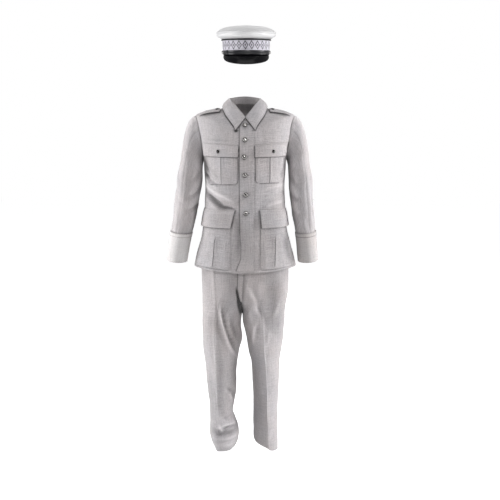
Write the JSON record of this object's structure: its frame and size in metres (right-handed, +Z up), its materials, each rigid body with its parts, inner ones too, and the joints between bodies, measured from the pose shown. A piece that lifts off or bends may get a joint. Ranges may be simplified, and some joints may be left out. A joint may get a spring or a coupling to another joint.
{
  "type": "prison guard uniform",
  "caption": "Prison guard uniform as worn: light grey belt-less tunic with flapped pockets, creased trousers and a white peaked cap, hollow cloth.",
  "frame": {"origin": "the middle of the shoulder line, where the wearer's shoulders hold the tunic, 1.55 m above the sole", "axes": "+Z up along the wearer, front towards -Y, the wearer's left towards +X"},
  "size_m": [0.6651, 0.3251, 1.8726],
  "materials": {
    "tunic_cloth": "matt heathered light grey suiting",
    "trouser_cloth": "matt heathered light grey suiting, pressed creases",
    "cap_crown": "smooth white woven cover",
    "cap_ribbon": "silvery lilac woven braid with a plain lozenge pattern",
    "cap_band": "black band",
    "patent": "black patent, glossy",
    "metal": "domed silver coloured metal",
    "horn": "dark polished button"
  },
  "bodies": {
    "root": {"breast_button_left": "horn", "breast_button_right": "horn", "breast_flap_left": "tunic_cloth", "breast_flap_right": "tunic_cloth", "breast_pocket_left": "tunic_cloth", "breast_pocket_right": "tunic_cloth", "cap_band": "cap_band", "cap_button_left": "metal", "cap_button_right": "metal", "cap_keeper": "patent", "cap_peak": "patent", "cap_piping": "patent", "cap_ribbon": "cap_ribbon", "cap_roof": "cap_crown", "cap_side": "cap_crown", "cap_strap": "patent", "collar_fall": "tunic_cloth", "collar_stand": "tunic_cloth", "cuff_left": "tunic_cloth", "cuff_right": "tunic_cloth", "epaulette_button_left": "horn", "epaulette_button_right": "horn", "epaulette_left": "tunic_cloth", "epaulette_right": "tunic_cloth", "front_band": "tunic_cloth", "front_button_1": "metal", "front_button_2": "metal", "front_button_3": "metal", "front_button_4": "metal", "front_button_5": "metal", "front_button_6": "metal", "lower_flap_left": "tunic_cloth", "lower_flap_right": "tunic_cloth", "lower_pocket_left": "tunic_cloth", "lower_pocket_right": "tunic_cloth", "sleeve_top_left": "tunic_cloth", "sleeve_top_right": "tunic_cloth", "sleeve_under_left": "tunic_cloth", "sleeve_under_right": "tunic_cloth", "trouser_back_left": "trouser_cloth", "trouser_back_right": "trouser_cloth", "trouser_fly": "trouser_cloth", "trouser_front_left": "trouser_cloth", "trouser_front_right": "trouser_cloth", "trouser_waistband": "trouser_cloth", "tunic_back": "tunic_cloth", "tunic_front_left": "tunic_cloth", "tunic_front_right": "tunic_cloth"}
  },
  "joints": []
}
